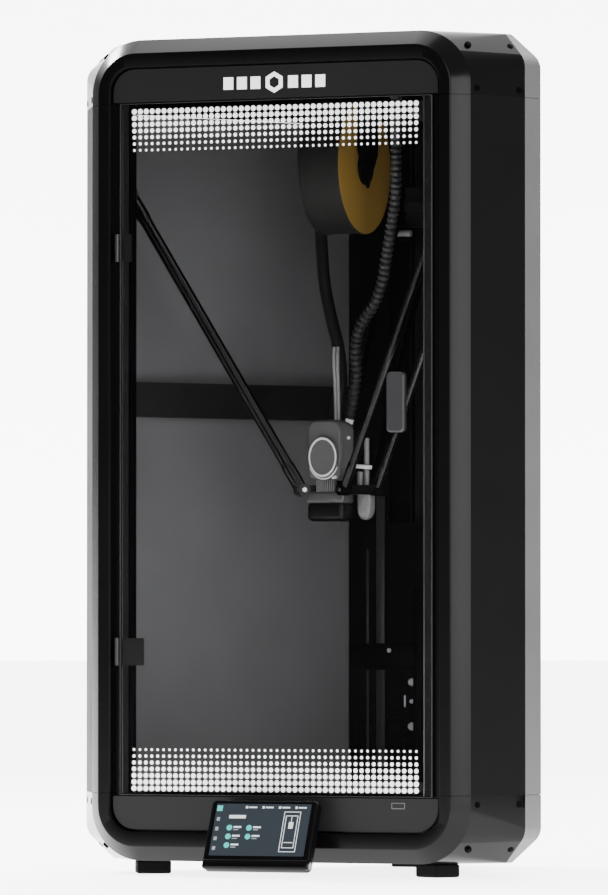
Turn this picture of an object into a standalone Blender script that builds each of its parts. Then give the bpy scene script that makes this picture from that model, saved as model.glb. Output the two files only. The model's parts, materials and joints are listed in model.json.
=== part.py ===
"""Enclosed delta 3D printer: triangular cabinet, glass door, three belt towers, head on six arms.

Metres, +Z up, front towards -Y. Everything is laid out from the plane of the front frame's face,
then moved as one so that the origin is at the middle in plan, on the floor.
"""

import math

import bmesh
import bpy
from mathutils import Matrix, Vector

# ---- Driving dimensions -------------------------------------------------------------------------
GAP = 0.0003  # between pieces that touch

FOOT_HEIGHT = 0.020
BODY_HEIGHT = 1.200
BASE_HEIGHT = 0.099  # bottom cap, floor of the cabinet to its seam
CAP_HEIGHT = 0.095  # top cap
WALL = 0.003  # cabinet sheet
SIDE_COVER_THICK = 0.0025
EDGE_RADIUS = 0.040  # how far the cabinet's sides curve in at its top and bottom
CAP_STEPS = 6

FRAME_HALF_WIDTH = 0.300  # front frame at the back of its chamfer
FRAME_DEPTH = 0.025
CHAMFER = 0.0215  # how far the front chamfer comes in, seen from the front
FRAME_RADIUS = 0.080  # outer corner of the front frame, and height of the caps' rounding
RING_HALF_WIDTH = 0.2595  # inner edge of the ring's flat face
RING_INNER_RADIUS = 0.036
RING_BOTTOM = 0.0640
RING_TOP = 1.1780
REBATE_DEPTH = 0.015  # floor of the recess that takes door and fascias
OPENING_HALF_WIDTH = 0.230

CENTRE_Y = 0.239  # vertical axis of the delta
TOWER_FACE = 0.3668  # distances of the cabinet's flats from that axis
TOWER_BEVEL = 0.3720
REAR_WALL = 0.2648
REAR_FACE = 0.3913
REAR_BEVEL = 0.3930
BEVEL_TURN = 12  # degrees between a tower face and its bevel
POST_FLANGE = 0.025

DOOR_HALF_WIDTH = 0.2472
DOOR_THICK = 0.004
DOOR_FRONT_Y = 0.006
DOOR_BOTTOM = 0.1165
DOOR_TOP = 1.1255
HINGE_X = -0.252
HINGE_RADIUS = 0.0035
HINGE_LENGTH = 0.040
HINGE_HEIGHTS = (0.325, 0.915)
HANDLE_SIZE = (0.028, 0.010, 0.087)
HANDLE_X = 0.194
HANDLE_Z = 0.684

CROSSBAR_LOW = 0.674
CROSSBAR_HIGH = 0.726
CROSSBAR_DEPTH = 0.018

ARM_LENGTH = 0.504
ARM_RADIUS = 0.007
ARM_SPACING = 0.060
KNOB_RADIUS = 0.009
KNOB_LENGTH = 0.019
CARRIAGE_JOINT = 0.308  # joint circle of the carriages
EFFECTOR_JOINT = 0.054  # joint circle of the effector
JOINT_Z = 0.563  # effector joints at rest
NOZZLE_Z = 0.516

COLUMN_FACE = 0.345
COLUMN_SIZE = (0.010, 0.060)
COLUMN_LOW = 0.070
COLUMN_HIGH = 1.168
RAIL_SIZE = (0.008, 0.015)
RAIL_LOW = 0.540
RAIL_HIGH = 1.110
PLATE_FACE = 0.318  # inner face of the carriage plate
PLATE_THICK = 0.0065
CARRIAGE_HALF_HEIGHT = 0.030
BELT_WIDTH = 0.010
BELT_THICK = 0.0016
PULLEY_RADIUS = 0.016
PULLEY_WIDTH = 0.012
BELT_MIDDLE = 0.3275  # distance of the belt's centre line from the delta axis
MOTOR_Z = 0.080
IDLER_Z = 1.145
MOTOR_SIZE = 0.042
MOTOR_LENGTH = 0.044

BED_RADIUS = 0.165
BED_TOP = 0.130
BED_THICK = 0.009
DECK_THICK = 0.003

SPOOL_RADIUS = 0.100
SPOOL_WIDTH = 0.066
SPOOL_BORE = 0.026
FLANGE_THICK = 0.004
FILAMENT_RADIUS = 0.084
SPOOL_Y = 0.262
SPOOL_Z = 1.041
AXLE_RADIUS = 0.025
BRACKET_THICK = 0.004

SCREEN_WIDTH = 0.168
SCREEN_HEIGHT = 0.106
SCREEN_THICK = 0.018
SCREEN_TILT = 22.5  # degrees from upright
SCREEN_TOP = (-0.025, 0.1115)  # y, z of the front face's upper edge
PIVOT = (0.0, -0.020, 0.062)
PIVOT_RADIUS = 0.005
BARREL_HALF = 0.018
LUG_REACH = 0.032

FOOT_SIZE = (0.050, 0.044)
FOOT_CIRCLE = 0.276
FRONT_FOOT_SHIFT = 0.026

# ---- Worked-out places --------------------------------------------------------------------------
CENTRE = Vector((0, CENTRE_Y, 0))
BODY_LOW = FOOT_HEIGHT
BODY_HIGH = FOOT_HEIGHT + BODY_HEIGHT
SEAM_LOW = BODY_LOW + BASE_HEIGHT
SEAM_HIGH = BODY_HIGH - CAP_HEIGHT
ARM_REACH = CARRIAGE_JOINT - EFFECTOR_JOINT
ARM_RISE = math.sqrt(ARM_LENGTH**2 - ARM_REACH**2)
CARRIAGE_Z = JOINT_Z + ARM_RISE
TOWERS = {"left": 210, "right": 330, "rear": 90}
FRONT_INSET = CENTRE_Y - FRAME_DEPTH

# ---- Scene, materials and mesh helpers ----------------------------------------------------------
for old in list(bpy.data.objects):
    bpy.data.objects.remove(old, do_unlink=True)
PARTS = bpy.data.collections.new("delta_printer")
CUTTERS = bpy.data.collections.new("cutters")
bpy.context.scene.collection.children.link(PARTS)
bpy.context.scene.collection.children.link(CUTTERS)
CUTTERS.hide_render = True


def material(name, colour, roughness, metallic=0.0, alpha=1.0):
    made = bpy.data.materials.new(name)
    made.use_nodes = True
    shader = made.node_tree.nodes["Principled BSDF"]
    shader.inputs["Base Color"].default_value = (*colour, 1)
    shader.inputs["Roughness"].default_value = roughness
    shader.inputs["Metallic"].default_value = metallic
    shader.inputs["Alpha"].default_value = alpha
    made.diffuse_color = (*colour, alpha)
    return made


BLACK_PAINT = material("black_paint", (0.020, 0.020, 0.022), 0.30)
MATT_BLACK = material("matt_black", (0.018, 0.018, 0.019), 0.65)
GREY_WALL = material("grey_wall", (0.09, 0.09, 0.095), 0.20)
DARK_PANEL = material("dark_panel", (0.030, 0.030, 0.031), 0.45)
SATIN_STRIP = material("satin_strip", (0.10, 0.10, 0.10), 0.35, 0.6)
TINTED_GLASS = material("tinted_glass", (0.05, 0.05, 0.06), 0.03, 0.0, 0.4)
STEEL = material("steel", (0.55, 0.55, 0.56), 0.25, 1.0)
ALUMINIUM = material("aluminium", (0.60, 0.60, 0.62), 0.35, 1.0)
CARBON = material("carbon", (0.012, 0.012, 0.013), 0.25)
RUBBER = material("rubber", (0.02, 0.02, 0.02), 0.80)
GREY_PLASTIC = material("grey_plastic", (0.12, 0.12, 0.125), 0.45)
HOSE_GREY = material("hose_grey", (0.28, 0.28, 0.29), 0.55)
BRASS = material("brass", (0.72, 0.48, 0.16), 0.30, 1.0)
GOLD = material("spool_gold", (0.42, 0.27, 0.06), 0.45)
BED = material("bed", (0.05, 0.05, 0.05), 0.55)
SCREEN_BLACK = material("screen_black", (0.008, 0.008, 0.009), 0.10)


def put(name, mesh, finish, where=None, collection=PARTS):
    """An object from a bmesh or a mesh, placed by a matrix."""
    if isinstance(mesh, bmesh.types.BMesh):
        data = bpy.data.meshes.new(name)
        bmesh.ops.recalc_face_normals(mesh, faces=mesh.faces)
        mesh.to_mesh(data)
        mesh.free()
    else:
        data = mesh
    piece = bpy.data.objects.new(name, data)
    if not data.materials:
        data.materials.append(finish)
    piece.matrix_world = where or Matrix()
    collection.objects.link(piece)
    return piece


def combine(target, tool, operation):
    """Boolean with a tool that is kept, hidden, among the cutters."""
    step = target.modifiers.new(tool.name, "BOOLEAN")
    step.operation = operation
    step.object = tool
    step.solver = "EXACT"
    tool.display_type = "WIRE"
    tool.hide_render = True
    return target


def box(low, high):
    mesh = bmesh.new()
    size = [b - a for a, b in zip(low, high)]
    middle = [(a + b) / 2 for a, b in zip(low, high)]
    place = Matrix.Translation(middle) @ Matrix.Diagonal((*size, 1))
    bmesh.ops.create_cube(mesh, size=1, matrix=place)
    return mesh


def rod(start, end, radius, sides=16, end_radius=None):
    start, end = Vector(start), Vector(end)
    turn = (end - start).to_track_quat("Z", "Y").to_matrix().to_4x4()
    mesh = bmesh.new()
    bmesh.ops.create_cone(
        mesh,
        cap_ends=True,
        segments=sides,
        radius1=radius,
        radius2=radius if end_radius is None else end_radius,
        depth=(end - start).length,
        matrix=Matrix.Translation((start + end) / 2) @ turn,
    )
    return mesh


def prism(outline, low, high):
    """Plan outline (x, y) raised from low to high."""
    mesh = bmesh.new()
    face = mesh.faces.new([mesh.verts.new((x, y, low)) for x, y in outline])
    raised = bmesh.ops.extrude_face_region(mesh, geom=[face])["geom"]
    top = [v for v in raised if isinstance(v, bmesh.types.BMVert)]
    bmesh.ops.translate(mesh, vec=(0, 0, high - low), verts=top)
    return mesh


def front_plate(outline, y_front, y_back):
    """Front outline (x, z) with its thickness along Y."""
    mesh = prism(outline, -y_back, -y_front)
    bmesh.ops.transform(mesh, matrix=Matrix.Rotation(math.pi / 2, 4, "X"), verts=mesh.verts)
    return mesh


def side_plate(outline, x_low, x_high):
    """Side outline (y, z) with its thickness along X."""
    mesh = prism(outline, x_low, x_high)
    turn = Matrix(((0, 0, 1, 0), (1, 0, 0, 0), (0, 1, 0, 0), (0, 0, 0, 1)))
    bmesh.ops.transform(mesh, matrix=turn, verts=mesh.verts)
    return mesh


def rounded(half_width, low, high, radius, lower=None, steps=6):
    """Rectangle centred on x = 0 with arcs at its corners, as (x, z) points."""
    lower = radius if lower is None else lower
    corners = (
        (half_width, low, lower, -90),
        (half_width, high, radius, 0),
        (-half_width, high, radius, 90),
        (-half_width, low, lower, 180),
    )
    points = []
    for x, z, r, start in corners:
        cx = x - math.copysign(r, x)
        cz = z + r if z == low else z - r
        turns = range(steps + 1) if r > 0 else (0,)
        for k in turns:
            a = math.radians(start + 90 * k / steps)
            points.append((cx + r * math.cos(a), cz + r * math.sin(a)))
    return points


def tower_matrix(angle):
    """Local x runs out along the tower's radius, local y along its tangent, z up."""
    return Matrix.Translation(CENTRE) @ Matrix.Rotation(math.radians(angle), 4, "Z")


# ---- Cabinet outline ----------------------------------------------------------------------------
FLATS = [
    (-90, FRONT_INSET),
    (-30, TOWER_FACE),
    (-30 + BEVEL_TURN, TOWER_BEVEL),
    (30, REAR_WALL),
    (90 - BEVEL_TURN, REAR_BEVEL),
    (90, REAR_FACE),
    (90 + BEVEL_TURN, REAR_BEVEL),
    (150, REAR_WALL),
    (210 - BEVEL_TURN, TOWER_BEVEL),
    (210, TOWER_FACE),
]


def cabinet_outline(inset=0.0, front=None):
    """Corners where neighbouring flats meet; corner k lies between flats k and k + 1."""
    flats = [(a, d - inset) for a, d in FLATS]
    if front is not None:
        flats[0] = (-90, CENTRE_Y - front)
    corners = []
    for (a, d), (b, e) in zip(flats, flats[1:] + flats[:1]):
        a, b = math.radians(a), math.radians(b)
        det = math.sin(b - a)
        x = (d * math.sin(b) - e * math.sin(a)) / det
        y = (e * math.cos(a) - d * math.cos(b)) / det
        corners.append(Vector((x, y + CENTRE_Y)))
    return corners


def cap_block(inset, seam, end, front, chamfered):
    """Cap solid: a ring of upright edges from the seam, each curving in to the flat end."""
    up = math.copysign(1, end - seam)
    mesh = bmesh.new()
    rings = []
    for step in range(-1, CAP_STEPS + 1):
        turn = math.radians(90 * max(step, 0) / CAP_STEPS)
        way_in, way_down = 1 - math.cos(turn), 1 - math.sin(turn)
        plan = cabinet_outline(inset + (EDGE_RADIUS - inset) * way_in, front)
        corner = cabinet_outline(inset, front)[0].x - (FRAME_RADIUS - inset) * way_in
        z = seam if step < 0 else end - up * (FRAME_RADIUS - inset) * way_down
        plan[0] = Vector((corner, front))
        plan[-1] = Vector((-corner, front))
        ring = [mesh.verts.new((x, y, z)) for x, y in plan]
        if chamfered:
            x = FRAME_HALF_WIDTH - CHAMFER - (FRAME_RADIUS - CHAMFER) * way_in
            if step >= 0:
                z = end - up * (CHAMFER + (FRAME_RADIUS - CHAMFER) * way_down)
            ring = [mesh.verts.new((x, 0, z)), *ring, mesh.verts.new((-x, 0, z))]
        rings.append(ring)
    for ring, after in zip(rings, rings[1:]):
        for k in range(len(ring)):
            n = (k + 1) % len(ring)
            mesh.faces.new((ring[k], ring[n], after[n], after[k]))
    mesh.faces.new(rings[0])
    last = rings[-1]
    if chamfered:
        mesh.faces.new((last[-1], last[0], last[1], last[-2]))
        last = last[1:-1]
    mesh.faces.new(last)
    bmesh.ops.triangulate(mesh, faces=[f for f in mesh.faces if len(f.verts) > 3])
    return mesh


# ---- Cabinet caps -------------------------------------------------------------------------------
def cap(name, seam, end):
    """Hollow cap, open at its seam, with the arch of the front frame and its recess."""
    inset = WALL + SIDE_COVER_THICK + GAP
    whole = put(name, cap_block(0, seam, end, FRAME_DEPTH, True), BLACK_PAINT)
    up = math.copysign(1, end - seam)
    hollow = cap_block(inset, seam - up * 0.01, end - up * WALL, FRAME_DEPTH + WALL, False)
    combine(whole, put(name + "_hollow", hollow, BLACK_PAINT, None, CUTTERS), "DIFFERENCE")
    outline = rounded(RING_HALF_WIDTH, RING_BOTTOM, RING_TOP, RING_INNER_RADIUS)
    recess = front_plate(outline, -0.01, REBATE_DEPTH)
    combine(whole, put(name + "_recess", recess, BLACK_PAINT, None, CUTTERS), "DIFFERENCE")
    for side, flat in (("right", 1), ("left", 9)):
        tool = side_cover_mesh(flat, SIDE_COVER_THICK + GAP, -0.01, GAP)
        pocket = put(f"{name}_{side}_pocket", tool, BLACK_PAINT, None, CUTTERS)
        combine(whole, pocket, "DIFFERENCE")
    return whole


SIDE_COVER_LOW = BODY_LOW + FRAME_RADIUS + 0.001
SIDE_COVER_HIGH = BODY_HIGH - FRAME_RADIUS - 0.001


def side_cover_mesh(flat, depth, proud, slack):
    """Plate on a tower face, from its surface (or proud of it) inwards by depth."""
    outer = cabinet_outline(0)
    start, end = outer[flat - 1], outer[flat]
    along = (end - start).normalized()
    inwards = Vector((-along.y, along.x))
    start = start + along * (GAP - slack)
    end = end - along * (GAP - slack)
    plan = [start + inwards * proud, end + inwards * proud, end + inwards * depth, start + inwards * depth]
    return prism([tuple(p) for p in plan], SIDE_COVER_LOW - slack, SIDE_COVER_HIGH + slack)


top_cap = cap("top_cap", SEAM_HIGH + GAP / 2, BODY_HIGH)
base_pan = cap("base_pan", SEAM_LOW - GAP / 2, BODY_LOW)
INLET_LOW = (-0.028, CENTRE_Y + REAR_FACE - 0.002, 0.070)
INLET_HIGH = (0.028, CENTRE_Y + REAR_FACE + 0.01, 0.102)
inlet_tool = put("inlet_seat", box(INLET_LOW, INLET_HIGH), BLACK_PAINT, None, CUTTERS)
combine(base_pan, inlet_tool, "DIFFERENCE")

# ---- Front posts, side covers, rear posts -------------------------------------------------------
for side, sign in (("left", -1), ("right", 1)):
    half = FRAME_HALF_WIDTH
    section = [
        (OPENING_HALF_WIDTH, REBATE_DEPTH),
        (RING_HALF_WIDTH, REBATE_DEPTH),
        (RING_HALF_WIDTH, 0),
        (half - CHAMFER, 0),
        (half, FRAME_DEPTH - GAP),
        (OPENING_HALF_WIDTH, FRAME_DEPTH - GAP),
    ]
    post = prism([(sign * x, y) for x, y in section], SEAM_LOW + GAP, SEAM_HIGH - GAP)
    put(f"front_post_{side}", post, BLACK_PAINT)

for side, flat in (("right", 1), ("left", 9)):
    put(f"side_cover_{side}", side_cover_mesh(flat, SIDE_COVER_THICK, 0, 0), DARK_PANEL)


def bent_sheet(corners, start_run, end_run, thickness):
    """Sheet round some cabinet corners, with a flange before the first and after the last."""
    count = len(FLATS)
    rings = [cabinet_outline(0.0), cabinet_outline(thickness)]
    paths = [[ring[k % count] for k in corners] for ring in rings]
    if start_run:
        away = (rings[0][(corners[0] - 1) % count] - paths[0][0]).normalized()
        end = paths[0][0] + away * start_run
        paths[0].insert(0, end)
        paths[1].insert(0, end + Vector((away.y, -away.x)) * thickness)
    if end_run:
        away = (rings[0][(corners[-1] + 1) % count] - paths[0][-1]).normalized()
        end = paths[0][-1] + away * end_run
        paths[0].append(end)
        paths[1].append(end + Vector((-away.y, away.x)) * thickness)
    return [tuple(p) for p in paths[0] + paths[1][::-1]]


# Each rear post covers a tower's bevel and turns on to the rear wall.
right_post = bent_sheet([1, 2], 0, POST_FLANGE, WALL)
shift = (cabinet_outline()[2] - cabinet_outline()[1]).normalized() * GAP
right_post[0] = (right_post[0][0] + shift.x, right_post[0][1] + shift.y)
right_post[-1] = (right_post[-1][0] + shift.x, right_post[-1][1] + shift.y)
for side, sign in (("right", 1), ("left", -1)):
    plan = [(sign * x, y) for x, y in right_post]
    put(f"rear_post_{side}", prism(plan, SEAM_LOW + GAP, SEAM_HIGH - GAP), SATIN_STRIP)
spine = bent_sheet([3, 4, 5, 6], POST_FLANGE, POST_FLANGE, WALL)
put("rear_spine", prism(spine, SEAM_LOW + GAP, SEAM_HIGH - GAP), MATT_BLACK)

# ---- Rear walls and their crossbars -------------------------------------------------------------
wall_start, wall_end = cabinet_outline()[2], cabinet_outline()[3]
wall_run = (wall_end - wall_start).length
wall_along = (wall_end - wall_start).normalized()
wall_inwards = Vector((-wall_along.y, wall_along.x))


def on_wall(run, depth):
    return tuple(wall_start + wall_along * run + wall_inwards * depth)


margin = POST_FLANGE + GAP * 2
wall_plan = [
    on_wall(margin, 0),
    on_wall(wall_run - margin, 0),
    on_wall(wall_run - margin, WALL),
    on_wall(margin, WALL),
]
bar_start, bar_end = 0.045, wall_run - 0.086
bar_plan = [
    on_wall(bar_start, WALL + GAP),
    on_wall(bar_end, WALL + GAP),
    on_wall(bar_end, WALL + CROSSBAR_DEPTH),
    on_wall(bar_start, WALL + CROSSBAR_DEPTH),
]
for side, sign in (("right", 1), ("left", -1)):
    panel = prism([(sign * x, y) for x, y in wall_plan], SEAM_LOW + GAP, SEAM_HIGH - GAP)
    put(f"rear_wall_{side}", panel, GREY_WALL)
    bar = prism([(sign * x, y) for x, y in bar_plan], CROSSBAR_LOW, CROSSBAR_HIGH)
    put(f"crossbar_{side}", bar, MATT_BLACK)

# ---- Fascias, deck and rear shroud --------------------------------------------------------------
FASCIA_CLEAR = 0.0025
fascia_half = RING_HALF_WIDTH - FASCIA_CLEAR
fascia_radius = RING_INNER_RADIUS - FASCIA_CLEAR
for name, low, high, lower, upper in (
    ("fascia_top", DOOR_TOP + 0.002, RING_TOP - FASCIA_CLEAR, 0, fascia_radius),
    ("fascia_bottom", RING_BOTTOM + FASCIA_CLEAR, DOOR_BOTTOM - 0.002, fascia_radius, 0),
):
    outline = rounded(fascia_half, low, high, upper, lower)
    put(name, front_plate(outline, DOOR_FRONT_Y, REBATE_DEPTH - GAP), DARK_PANEL)

DECK_CLEAR = 0.004
DECK_CORNER = 0.296
deck_flats = [
    (-90, FRONT_INSET - WALL - DECK_CLEAR),
    (-30, DECK_CORNER),
    (30, REAR_WALL - WALL - DECK_CLEAR),
    (90, DECK_CORNER),
    (150, REAR_WALL - WALL - DECK_CLEAR),
    (210, DECK_CORNER),
]
deck_plan = []
for (a, d), (b, e) in zip(deck_flats, deck_flats[1:] + deck_flats[:1]):
    a, b = math.radians(a), math.radians(b)
    deck_plan.append(
        (
            (d * math.sin(b) - e * math.sin(a)) / math.sin(b - a),
            (e * math.cos(a) - d * math.cos(b)) / math.sin(b - a) + CENTRE_Y,
        )
    )
DECK_TOP = BED_TOP - BED_THICK - GAP
put("deck_plate", prism(deck_plan, DECK_TOP - DECK_THICK, DECK_TOP), MATT_BLACK)

SHROUD_Y = 0.552
SHROUD_HALF = 0.117
SLOT_HALF = 0.050
shroud = put(
    "rear_shroud",
    box((-SHROUD_HALF, SHROUD_Y, DECK_TOP + GAP), (SHROUD_HALF, SHROUD_Y + WALL, SEAM_HIGH - 0.002)),
    MATT_BLACK,
)
slot = box((-SLOT_HALF, SHROUD_Y - 0.01, 0.52), (SLOT_HALF, SHROUD_Y + 0.01, SEAM_HIGH - 0.02))
combine(shroud, put("shroud_slot", slot, MATT_BLACK, None, CUTTERS), "DIFFERENCE")

# ---- Feet ---------------------------------------------------------------------------------------
for name, angle in TOWERS.items():
    tangent = {"left": 1, "right": -1, "rear": 0}[name] * FRONT_FOOT_SHIFT
    x, y = FOOT_CIRCLE, tangent
    low = (x - FOOT_SIZE[0] / 2, y - FOOT_SIZE[1] / 2, 0)
    high = (x + FOOT_SIZE[0] / 2, y + FOOT_SIZE[1] / 2, FOOT_HEIGHT - GAP)
    foot = put(f"foot_{name}", box(low, high), RUBBER, tower_matrix(angle))
    edge = foot.modifiers.new("rounding", "BEVEL")
    edge.width = 0.003
    edge.segments = 2

# ---- Towers: column with rail, motor, pulley, idler, belt, carriage -----------------------------
column_far = COLUMN_FACE + COLUMN_SIZE[0]
column_mesh = box((COLUMN_FACE, -COLUMN_SIZE[1] / 2, COLUMN_LOW), (column_far, COLUMN_SIZE[1] / 2, COLUMN_HIGH))
rail_near = COLUMN_FACE - RAIL_SIZE[0]
rail_mesh = box((rail_near, -RAIL_SIZE[1] / 2, RAIL_LOW), (COLUMN_FACE + 0.001, RAIL_SIZE[1] / 2, RAIL_HIGH))
belt_inner = PULLEY_RADIUS + GAP
belt_outer = belt_inner + BELT_THICK


def stadium(radius, y_sign=1, steps=10):
    points = []
    for middle, start in ((IDLER_Z, 0), (MOTOR_Z, 180)):
        for k in range(steps + 1):
            a = math.radians(start + 180 * k / steps)
            points.append((radius * math.cos(a), middle + radius * math.sin(a)))
    return points


def carriage_mesh():
    """Plate, rail block, joint lug and belt clamp of a carriage, as separate solids to be joined."""
    back = PLATE_FACE + PLATE_THICK
    h = CARRIAGE_HALF_HEIGHT
    lug_half = ARM_SPACING / 2 - KNOB_LENGTH / 2 - GAP
    clamp_low = belt_outer + GAP
    return (
        box((PLATE_FACE, -0.026, CARRIAGE_Z - h), (back, 0.026, CARRIAGE_Z + h)),
        box((back - 0.001, -0.0135, CARRIAGE_Z - 0.022), (COLUMN_FACE - 0.0015, 0.0135, CARRIAGE_Z + 0.022)),
        box(
            (CARRIAGE_JOINT - 0.008, -lug_half, CARRIAGE_Z - 0.008),
            (PLATE_FACE + 0.001, lug_half, CARRIAGE_Z + 0.008),
        ),
        box((back - 0.001, clamp_low, CARRIAGE_Z - 0.012), (back + 0.010, 0.026, CARRIAGE_Z + 0.012)),
    )


def belt_clear(mesh_name):
    """Room in the carriage plate for the belt's width."""
    near = BELT_MIDDLE - BELT_WIDTH / 2 - GAP
    far = BELT_MIDDLE + BELT_WIDTH / 2 + 0.02
    low = (near, belt_inner - GAP * 2, CARRIAGE_Z - 0.1)
    return box(low, (far, belt_outer + GAP, CARRIAGE_Z + 0.1))


for name, angle in TOWERS.items():
    place = tower_matrix(angle)
    column = put(f"tower_{name}", column_mesh.copy(), ALUMINIUM, place)
    rail = put(f"rail_{name}", rail_mesh.copy(), STEEL, place, CUTTERS)
    combine(column, rail, "UNION")

    motor_far = BELT_MIDDLE - PULLEY_WIDTH / 2 - 0.002
    half = MOTOR_SIZE / 2
    low = (motor_far - MOTOR_LENGTH, -half, MOTOR_Z - half)
    motor = put(f"motor_{name}", box(low, (motor_far, half, MOTOR_Z + half)), MATT_BLACK, place)
    corners = motor.modifiers.new("corners", "BEVEL")
    corners.width = 0.004
    corners.segments = 1

    for kind, z in (("pulley", MOTOR_Z), ("idler", IDLER_Z)):
        near, far = BELT_MIDDLE - PULLEY_WIDTH / 2, BELT_MIDDLE + PULLEY_WIDTH / 2
        put(f"{kind}_{name}", rod((near, 0, z), (far, 0, z), PULLEY_RADIUS, 24), ALUMINIUM, place)

    near, far = BELT_MIDDLE - BELT_WIDTH / 2, BELT_MIDDLE + BELT_WIDTH / 2
    belt = put(f"belt_{name}", side_plate(stadium(belt_outer), near, far), RUBBER, place)
    inside = put(f"belt_{name}_inside", side_plate(stadium(belt_inner), near - 0.01, far + 0.01), RUBBER, place, CUTTERS)
    combine(belt, inside, "DIFFERENCE")

    pieces = [put(f"carriage_{name}_{k}", m, GREY_PLASTIC, place, CUTTERS) for k, m in enumerate(carriage_mesh())]
    carriage = pieces[0]
    CUTTERS.objects.unlink(carriage)
    PARTS.objects.link(carriage)
    carriage.name = f"carriage_{name}"
    for tool in pieces[1:]:
        combine(carriage, tool, "UNION")
    clear = GAP
    low = (rail_near - clear, -RAIL_SIZE[1] / 2 - clear, CARRIAGE_Z - 0.1)
    track = box(low, (COLUMN_FACE + 0.01, RAIL_SIZE[1] / 2 + clear, CARRIAGE_Z + 0.1))
    combine(carriage, put(f"track_{name}", track, STEEL, place, CUTTERS), "DIFFERENCE")
    for sign in (1, -1):
        low = (BELT_MIDDLE - BELT_WIDTH / 2 - GAP, 0, 0)
        way = belt_clear(name)
        if sign < 0:
            bmesh.ops.scale(way, vec=(1, -1, 1), verts=way.verts)
        tool = put(f"belt_way_{name}_{sign}", way, STEEL, place, CUTTERS)
        combine(carriage, tool, "DIFFERENCE")
column_mesh.free()
rail_mesh.free()

# ---- Arms ---------------------------------------------------------------------------------------
for name, angle in TOWERS.items():
    for end, sign in (("a", -1), ("b", 1)):
        y = sign * ARM_SPACING / 2
        low, high = (EFFECTOR_JOINT, y, JOINT_Z), (CARRIAGE_JOINT, y, CARRIAGE_Z)
        place = tower_matrix(angle)
        arm = put(f"arm_{name}_{end}", rod(low, high, ARM_RADIUS, 14), CARBON, place)
        for k, (x, _, z) in enumerate((low, high)):
            knob = rod((x, y - KNOB_LENGTH / 2, z), (x, y + KNOB_LENGTH / 2, z), KNOB_RADIUS, 16)
            combine(arm, put(f"arm_{name}_{end}_knob_{k}", knob, CARBON, place, CUTTERS), "UNION")

# ---- Effector and head --------------------------------------------------------------------------
HEAD_HALF = 0.028
HEAD_FRONT = CENTRE_Y - 0.051
HEAD_COVER_LOW = 0.577
HEAD_COVER_HIGH = 0.666
SHROUD_LOW = 0.522
PLATE_LOW = JOINT_Z - 0.007
PLATE_HIGH = JOINT_Z + 0.007

lug_out = EFFECTOR_JOINT + 0.008
lug_half = ARM_SPACING / 2 - KNOB_LENGTH / 2 - GAP
effector = put("effector", prism([(0.034 * math.cos(a), CENTRE_Y + 0.034 * math.sin(a)) for a in [math.radians(30 + 60 * k) for k in range(6)]], PLATE_LOW, PLATE_HIGH), MATT_BLACK)
for name, angle in TOWERS.items():
    lug = box((0, -lug_half, PLATE_LOW), (lug_out, lug_half, PLATE_HIGH))
    combine(effector, put(f"lug_{name}", lug, MATT_BLACK, tower_matrix(angle), CUTTERS), "UNION")
housing_half = HEAD_HALF - 0.004
housing_low = (-housing_half, HEAD_FRONT + 0.006, SHROUD_LOW)
housing = box(housing_low, (housing_half, CENTRE_Y + 0.018, PLATE_LOW + 0.001))
bmesh.ops.bevel(
    housing,
    geom=[e for e in housing.edges if all(v.co.z < SHROUD_LOW + 0.001 for v in e.verts)],
    offset=0.006,
    segments=2,
    profile=0.5,
    affect="EDGES",
)
combine(effector, put("hotend_housing", housing, MATT_BLACK, None, CUTTERS), "UNION")

cover_plan = rounded(HEAD_HALF, HEAD_COVER_LOW, HEAD_COVER_HIGH, 0.014, 0.003, steps=4)
put("head_cover", front_plate(cover_plan, HEAD_FRONT, CENTRE_Y - 0.008), GREY_PLASTIC)

extruder = put("extruder", box((-0.022, CENTRE_Y - 0.007, PLATE_HIGH + GAP), (0.022, CENTRE_Y + 0.030, 0.652)), MATT_BLACK)
motor_can = rod((0, CENTRE_Y + 0.029, 0.620), (0, CENTRE_Y + 0.048, 0.620), 0.018, 20)
combine(extruder, put("extruder_motor", motor_can, MATT_BLACK, None, CUTTERS), "UNION")

nozzle = put("nozzle", rod((0, CENTRE_Y, NOZZLE_Z), (0, CENTRE_Y, SHROUD_LOW - GAP), 0.001, 12, 0.0035), BRASS)

DUCT_X = 0.045
duct = put("cooling_duct", rod((DUCT_X, CENTRE_Y, 0.519), (DUCT_X, CENTRE_Y, 0.552), 0.009, 16, 0.011), HOSE_GREY)
duct_pipe = rod((DUCT_X, CENTRE_Y + 0.004, 0.551), (DUCT_X, CENTRE_Y + 0.004, 0.640), 0.0045, 12)
combine(duct, put("duct_pipe", duct_pipe, HOSE_GREY, None, CUTTERS), "UNION")

# ---- Hose and cable sleeve: held at the cabinet top and at the head -----------------------------
HOSE_RADIUS = 0.0085
HOSE_ROUTE = [
    (0.098, 0.228, 1.200),
    (0.098, 0.228, 1.140),
    (0.098, 0.228, 1.072),
    (0.097, 0.228, 1.001),
    (0.089, 0.229, 0.945),
    (0.082, 0.231, 0.910),
    (0.074, 0.233, 0.872),
    (0.060, 0.236, 0.838),
    (0.040, 0.240, 0.812),
    (0.028, 0.243, 0.786),
    (0.026, 0.244, 0.760),
    (0.026, 0.246, 0.733),
    (0.020, 0.250, 0.700),
    (0.012, 0.253, 0.670),
    (0.010, 0.254, 0.6535),
]
SLEEVE_RADIUS = 0.0095
SLEEVE_ROUTE = [
    (-0.072, 0.335, 1.200),
    (-0.072, 0.335, 1.120),
    (-0.070, 0.330, 1.030),
    (-0.062, 0.320, 0.937),
    (-0.050, 0.305, 0.872),
    (-0.033, 0.290, 0.821),
    (-0.015, 0.277, 0.772),
    (-0.006, 0.264, 0.721),
    (-0.010, 0.254, 0.680),
    (-0.011, 0.252, 0.6535),
]


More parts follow.
